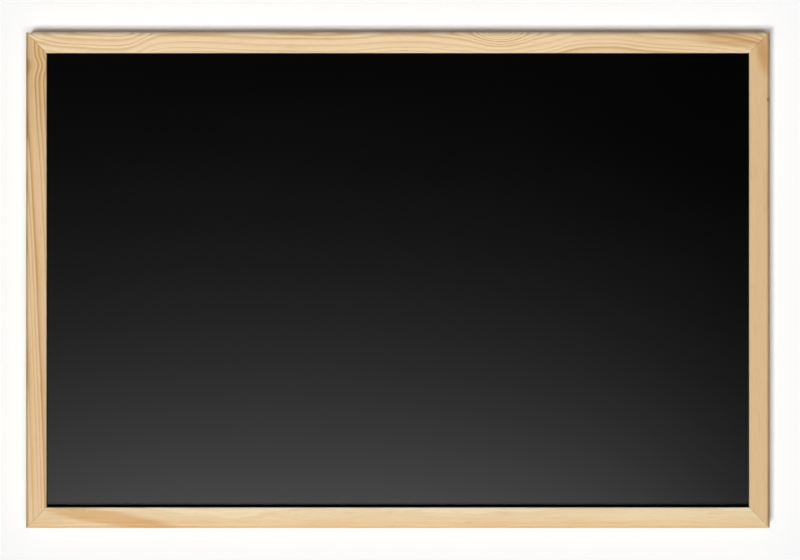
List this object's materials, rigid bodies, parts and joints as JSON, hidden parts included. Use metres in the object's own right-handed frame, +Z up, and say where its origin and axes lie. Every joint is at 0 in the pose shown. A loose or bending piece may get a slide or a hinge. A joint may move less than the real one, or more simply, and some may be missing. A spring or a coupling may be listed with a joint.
{
  "type": "chalkboard",
  "caption": "Wall chalkboard: a black writing panel held in the groove of a mitred pine frame, with swinging D-ring strap hangers on the back.",
  "frame": {"origin": "centre of the plane of the frame's back, which lies against the wall", "axes": "+X to the right as seen from the front, +Y from the board towards the wall, +Z up"},
  "size_m": [0.6, 0.0182, 0.4],
  "materials": {
    "pine": "sanded pale pine, clear satin lacquer",
    "chalk_lacquer": "satin black chalkboard lacquer",
    "hardboard": "raw brown hardboard with a screen-textured back",
    "zinc_steel": "bright zinc plating",
    "nail_steel": "plain steel"
  },
  "bodies": {
    "board": {"top_rail": "pine", "bottom_rail": "pine", "left_stile": "pine", "right_stile": "pine", "writing_sheet": "chalk_lacquer", "backing_board": "hardboard", "v_nail_top_left_1": "nail_steel", "v_nail_top_left_2": "nail_steel", "v_nail_top_right_1": "nail_steel", "v_nail_top_right_2": "nail_steel", "v_nail_bottom_left_1": "nail_steel", "v_nail_bottom_left_2": "nail_steel", "v_nail_bottom_right_1": "nail_steel", "v_nail_bottom_right_2": "nail_steel", "left_hanger_strap": "zinc_steel", "right_hanger_strap": "zinc_steel", "left_hanger_screw": "zinc_steel", "right_hanger_screw": "zinc_steel"},
    "left_ring": {"left_hanger_ring": "zinc_steel"},
    "right_ring": {"right_hanger_ring": "zinc_steel"}
  },
  "joints": [
    {"name": "left_ring_swing", "type": "hinge", "parent": "board", "child": "left_ring", "pos_m": [-0.2915, 0.00225, 0.155], "axis": [1, 0, 0], "range_deg": [0, 180]},
    {"name": "right_ring_swing", "type": "hinge", "parent": "board", "child": "right_ring", "pos_m": [0.2915, 0.00225, 0.155], "axis": [1, 0, 0], "range_deg": [0, 180]}
  ]
}
